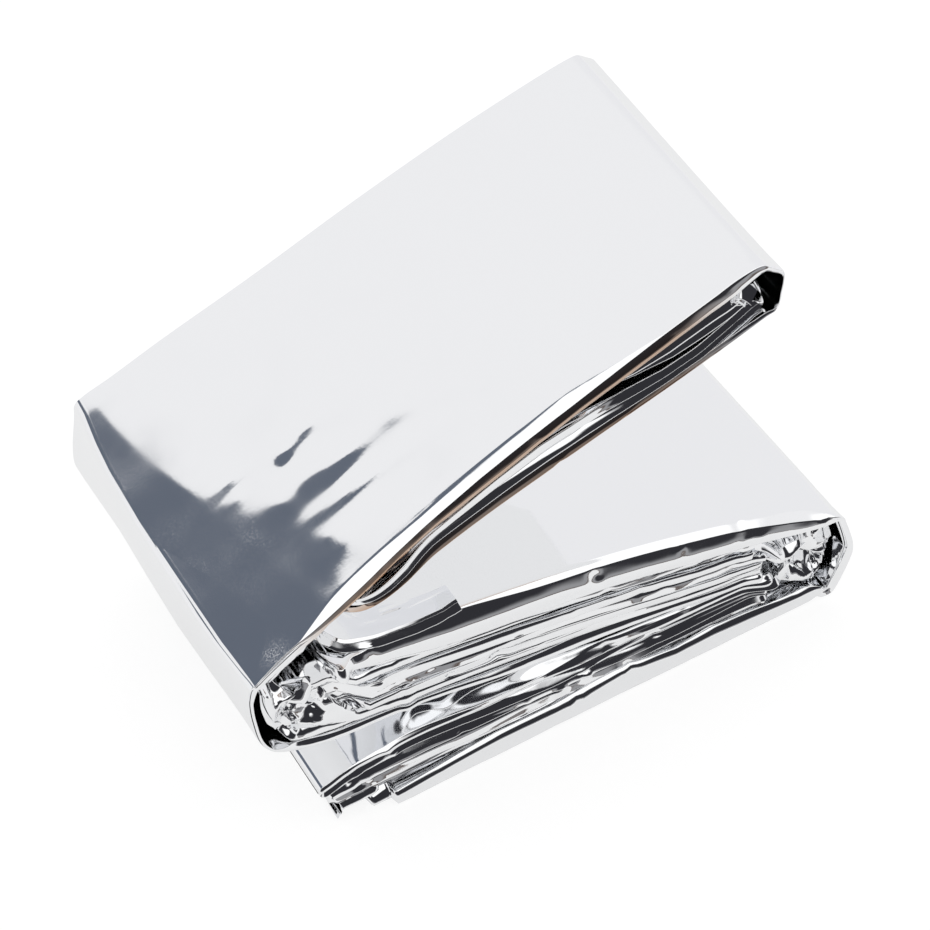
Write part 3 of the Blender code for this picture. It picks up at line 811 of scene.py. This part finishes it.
def film(layer, rows):
    """Mesh points (rows x columns x 3, in mm) of one run of film, their warm tint and dullness."""
    x, z, lean = rows[:, [0, 1, 4]].T
    share = dict(zip(REGIONS, rows[:, BASE:].T))
    lengths = np.linalg.norm(np.diff(rows[:, :2], axis=0), axis=1)
    run_at = np.concatenate([[0.0], np.cumsum(lengths)])
    direction = np.gradient(rows[:, :2], axis=0)
    direction /= np.linalg.norm(direction, axis=1)[:, None]
    across = np.stack([direction[:, 1], -direction[:, 0]], axis=1)

    columns = film_columns(FINE.get(layer, {}))
    panel = np.array([column.panel for column in columns])
    weight = np.array([column.weight for column in columns])
    following = np.minimum(panel + 1, PANELS - 1)
    deep_levels, near_levels = panel_levels(layer, rows, run_at)
    upright = np.clip(3 * across[:, 1], -1, 1)[:, None]
    edge, tucked = near_edges(layer, rows, run_at, panel, weight, near_levels, upright)
    y = column_depths(rows, edge, columns)
    depth = y - tucked[:, None]

    # how far each point lies from the middle of the layer
    deep, at_edge = ((level[panel] * weight[:, None] + level[following] * (1 - weight)[:, None]).T
                     for level in (deep_levels, near_levels))
    fade = np.exp(-(np.clip(depth, 0, None) / REACH_DEPTH) ** 2)
    offset = deep * (1 - fade) + at_edge * fade + rolled(layer, rows, depth)
    x_here = x[:, None] + 0 * y
    if layer == "cover":
        top = share["leaf_1"][:, None] * (panel == 0) * ramp(depth, *RIDGE_DEPTHS)
        flat = (share["leaf_1"] + share["spine"] * ramp(z, *LEAF_HEIGHTS))[:, None] * (panel == 0)
        offset = offset + top * ridge_heights(RIDGES, x_here, y)
        offset = offset + flat * bend_heights(BENDS, x_here, y)
        swelling = share["leaf_3"][:, None] * (panel == 0) * rise_height(x, depth)
        offset = offset + swelling * (1 + RISE_SWING * swell(run_at, 7, 9.0))[:, None]
    if layer == "flap":
        loose = np.clip(1 - sum(share.values()), 0, 1)[:, None]
        offset = offset + loose * ridge_heights(FLAP_RIDGES, x_here, y)

    point_x = x[:, None] + lean[:, None] * depth / LEAN_DEPTH + across[:, :1] * offset
    point_z = z[:, None] + across[:, 1:] * offset
    if layer == "cover":
        bow = bowed(x, z, y)
        point_x, point_z = point_x + bow, point_z + LEAF_RISE * bow
    if layer in CRUSHED_ENDS:
        back = facet_depths(CRUSHED_ENDS[layer], point_x, point_z)
        y = y + back * np.clip(1 - np.clip(depth, 0, None) / CORNER_DEPTH, 0, 1)
    points = crush(np.stack([point_x, y, point_z], axis=2))
    points[..., 2] = np.maximum(points[..., 2], FLOOR)
    points -= np.array([*CENTRE, 0.0])

    warm, dull = np.zeros_like(y), np.zeros_like(y)
    # A brown tint is painted on the near folds of the top leaf's cover and flap, fading out to the
    # right.
    if layer in ("cover", "flap"):
        front = np.exp(-np.clip(depth, 0, None) / WARM_DEPTH) * share["leaf_1"][:, None]
        front = front * (1 - ramp(x, *WARM_FADE))[:, None]
        warm = WARM_MOST * front * ((panel % 2 == 1) | (weight < 1) | (layer == "flap"))
    if layer == "cover":
        for patch in DULL_PATCHES:
            away = ((x_here - patch.x) ** 2 + (y - patch.y) ** 2) / patch.radius ** 2
            dull += patch.amount * flat * np.exp(-away)
    return points, warm, dull


def grid_faces(row_count, column_count):
    """The corners of a grid's four-sided faces."""
    rows = np.arange(row_count - 1)[:, None]
    columns = np.arange(column_count - 1)[None, :]
    corner = (rows * column_count + columns).ravel()
    return np.stack([corner, corner + 1, corner + column_count + 1, corner + column_count], axis=1)


def new_mesh(name, points, warm, dull):
    """A grid of points in mm as a smooth mesh piece."""
    row_count, column_count = points.shape[:2]
    faces = grid_faces(row_count, column_count)
    mesh = bpy.data.meshes.new(name)
    mesh.vertices.add(row_count * column_count)
    mesh.vertices.foreach_set("co", (points * MM).reshape(-1))
    mesh.loops.add(faces.size)
    mesh.loops.foreach_set("vertex_index", faces.reshape(-1))
    mesh.polygons.add(len(faces))
    mesh.polygons.foreach_set("loop_start", np.arange(0, faces.size, 4))
    mesh.polygons.foreach_set("use_smooth", np.ones(len(faces), dtype=bool))
    mesh.update(calc_edges=True)
    for tag, values in (("warm", warm), ("dull", dull)):
        mesh.attributes.new(tag, "FLOAT", "POINT").data.foreach_set("value", values.reshape(-1))
    mesh.validate()
    piece = bpy.data.objects.new(name, mesh)
    bpy.context.scene.collection.objects.link(piece)
    return piece


# ---- nodes and material

def math_node(nodes, links, operation, *values):
    node = nodes.new("ShaderNodeMath")
    node.operation = operation
    for socket, value in zip(node.inputs, values):
        if isinstance(value, (int, float)):
            socket.default_value = value
        else:
            links.new(value, socket)
    return node.outputs[0]


def range_node(nodes, links, value, start, end, low=0.0, high=1.0, kind="LINEAR"):
    """Takes a value from between start and end to between low and high."""
    node = nodes.new("ShaderNodeMapRange")
    node.interpolation_type = kind
    ends = {"From Min": start, "From Max": end, "To Min": low, "To Max": high}
    for name, number in ends.items():
        node.inputs[name].default_value = number
    links.new(value, node.inputs["Value"])
    return node.outputs["Result"]


def mix_node(nodes, links, factor, first, second):
    node = nodes.new("ShaderNodeMix")
    node.data_type = "RGBA"
    links.new(factor, node.inputs["Factor"])
    for socket, value in (("A", first), ("B", second)):
        if isinstance(value, tuple):
            node.inputs[socket].default_value = (*value, 1.0)
        else:
            links.new(value, node.inputs[socket])
    return node.outputs["Result"]


FILM = (0.93, 0.935, 0.945)
# a brown tint painted on the near folds of the top leaf, through the warm attribute
BROWN_TINT = (0.5, 0.3, 0.17)


def film_material():
    """Metallised film: a slightly hazy mirror with fine creasing, with a brown tint painted on the
    near folds of the top leaf.
    """
    material = bpy.data.materials.new("metallised_film")
    material.use_nodes = True
    nodes, links = material.node_tree.nodes, material.node_tree.links
    shader = nodes["Principled BSDF"]
    shader.inputs["Metallic"].default_value = 1.0
    place = nodes.new("ShaderNodeTexCoord").outputs["Object"]

    def noise(scale, detail):
        node = nodes.new("ShaderNodeTexNoise")
        node.inputs["Scale"].default_value = scale
        node.inputs["Detail"].default_value = detail
        links.new(place, node.inputs["Vector"])
        return node.outputs["Fac"]

    def tag(name):
        node = nodes.new("ShaderNodeAttribute")
        node.attribute_name = name
        return node.outputs["Fac"]

    links.new(mix_node(nodes, links, tag("warm"), FILM, BROWN_TINT), shader.inputs["Base Color"])
    haze = range_node(nodes, links, noise(75.0, 3.0), 0.35, 0.75, 0.03, 0.10)
    scratches = range_node(nodes, links, noise(3000.0, 4.0), 0.42, 0.66, 0.10, 0.48)
    rough = math_node(nodes, links, "MULTIPLY", scratches, tag("dull"))
    links.new(math_node(nodes, links, "ADD", haze, rough), shader.inputs["Roughness"])

    bump = nodes.new("ShaderNodeBump")
    bump.inputs["Strength"].default_value = 0.006
    bump.inputs["Distance"].default_value = 0.0002
    links.new(noise(1400.0, 2.0), bump.inputs["Height"])
    links.new(bump.outputs["Normal"], shader.inputs["Normal"])
    return material


# ---- studio

# What surrounds the packet, by direction: azimuth left of +Y and elevation, in degrees, with a
# soft edge. Later patches lie over earlier ones.
Patch = namedtuple("Patch", "left right low high edge colour")
ROOM = (0.9, 0.9, 0.91)
LAMP = (1.15, 1.15, 1.15)
SLATE = (0.125, 0.145, 0.185)
DARK = (0.03, 0.03, 0.035)
WARM = (0.12, 0.095, 0.085)
WALL = (0.87, 0.87, 0.885)
FOOT = (0.3, 0.3, 0.31)
WHITE = (1.0, 1.0, 1.0)
FLOOR_SIZE = 2.2    # in metres
FLOOR_GLOW = (0.63, 0.80)    # seen in the film, and by the camera
PATCHES = table(Patch, [
    (-10, -75, 0, 44, 8, WALL),      # wall at the back right
    (-48, -130, 41, 95, 6, LAMP),    # lamp, low on the right
    (200, 122, 46, 95, 5, LAMP),     # and in front
    (-125, -200, 46, 95, 5, LAMP),
    (200, 110, 2, 46, 5, DARK),      # dark room in front
    (-110, -200, 2, 46, 5, DARK),
    (200, 122, -4, 9, 6, FOOT),      # where the room meets the floor
    (-125, -200, -4, 9, 6, FOOT),
    (80, 28.2, 24, 60, 0.8, SLATE),  # dark screen at the back left
    (200, 122, -3, 1, 2.5, WARM),    # warm strip at the horizon
    (-125, -200, -3, 1, 2.5, WARM),
    (200, -200, 59, 95, 3, LAMP),    # overhead
])


def studio_world():
    world = bpy.data.worlds.new("studio")
    bpy.context.scene.world = world
    world.use_nodes = True
    nodes, links = world.node_tree.nodes, world.node_tree.links
    split = nodes.new("ShaderNodeSeparateXYZ")
    links.new(nodes.new("ShaderNodeTexCoord").outputs["Generated"], split.inputs[0])
    x, y, z = split.outputs
    leftwards = math_node(nodes, links, "MULTIPLY", x, -1.0)
    angles = []
    for operation, values in (("ARCTAN2", (leftwards, y)), ("ARCSINE", (z,))):
        angle = math_node(nodes, links, operation, *values)
        angles.append(math_node(nodes, links, "MULTIPLY", angle, 180 / math.pi))
    azimuth, elevation = angles
    colour = ROOM
    for patch in PATCHES:
        soft = patch.edge / 2
        right, left, low, high = (
            range_node(nodes, links, angle, at - soft, at + soft, kind="SMOOTHSTEP")
            for angle, at in ((azimuth, patch.right), (azimuth, patch.left),
                              (elevation, patch.low), (elevation, patch.high)))
        wide = math_node(nodes, links, "SUBTRACT", right, left)
        tall = math_node(nodes, links, "SUBTRACT", low, high)
        factor = math_node(nodes, links, "MULTIPLY", wide, tall)
        colour = mix_node(nodes, links, factor, colour, patch.colour)
    path = nodes.new("ShaderNodeLightPath")
    colour = mix_node(nodes, links, path.outputs["Is Diffuse Ray"], colour, WHITE)
    colour = mix_node(nodes, links, path.outputs["Is Camera Ray"], colour, WHITE)
    links.new(colour, nodes["Background"].inputs["Color"])


def studio_floor():
    size = FLOOR_SIZE / 2
    mesh = bpy.data.meshes.new("floor")
    corners = [(-size, -size, 0), (size, -size, 0), (size, size, 0), (-size, size, 0)]
    mesh.from_pydata(corners, [], [(0, 1, 2, 3)])
    floor = bpy.data.objects.new("floor", mesh)
    bpy.context.scene.collection.objects.link(floor)
    material = bpy.data.materials.new("white_paper")
    material.use_nodes = True
    nodes, links = material.node_tree.nodes, material.node_tree.links
    shader = nodes["Principled BSDF"]
    shader.inputs["Base Color"].default_value = (0.25, 0.25, 0.25, 1.0)
    shader.inputs["Roughness"].default_value = 1.0
    shader.inputs["Specular IOR Level"].default_value = 0.0
    shader.inputs["Emission Color"].default_value = (*WHITE, 1.0)
    path = nodes.new("ShaderNodeLightPath")
    glow = range_node(nodes, links, path.outputs["Is Camera Ray"], 0.0, 1.0, *FLOOR_GLOW)
    links.new(glow, shader.inputs["Emission Strength"])
    mesh.materials.append(material)


# The camera: where it looks, in section mm, from how far, its angles and its lens.
AIM = (77.4, 71.4, 0.0)
DISTANCE = 638.8
ELEVATION, AZIMUTH, ROLL = (math.radians(angle) for angle in (43.98, -25.61, -3.84))
LENS, SENSOR = 116.5, 36.0


def studio_camera():
    back = Vector((math.sin(AZIMUTH) * math.cos(ELEVATION),
                   -math.cos(AZIMUTH) * math.cos(ELEVATION), math.sin(ELEVATION)))
    right = Vector((math.cos(AZIMUTH), math.sin(AZIMUTH), 0.0))
    up = right.cross(-back)
    side = right * math.cos(ROLL) + up * math.sin(ROLL)
    top = up * math.cos(ROLL) - right * math.sin(ROLL)
    aim = Vector((AIM[0] - CENTRE[0], AIM[1] - CENTRE[1], AIM[2]))
    data = bpy.data.cameras.new("camera")
    data.lens, data.sensor_width = LENS, SENSOR
    camera = bpy.data.objects.new("camera", data)
    matrix = Matrix((side, top, back)).transposed().to_4x4()
    matrix.translation = (aim + back * DISTANCE) * MM
    camera.matrix_world = matrix
    data.clip_start, data.clip_end = 0.05, 20.0
    bpy.context.scene.collection.objects.link(camera)
    bpy.context.scene.camera = camera


# ---- the scene

studio_camera()
studio_world()
studio_floor()
bpy.context.scene.view_settings.view_transform = "Standard"
bpy.context.scene.cycles.glossy_bounces = 8

film_finish = film_material()
all_rows, spans = course_rows()
for run in COURSE:
    first, last = spans[run.layer]
    run_rows = all_rows[first:last + 1]
    piece = new_mesh("film_" + run.layer, *film(run.layer, run_rows))
    piece.data.materials.append(film_finish)
    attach(piece, "root")
    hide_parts("foil_sheet")
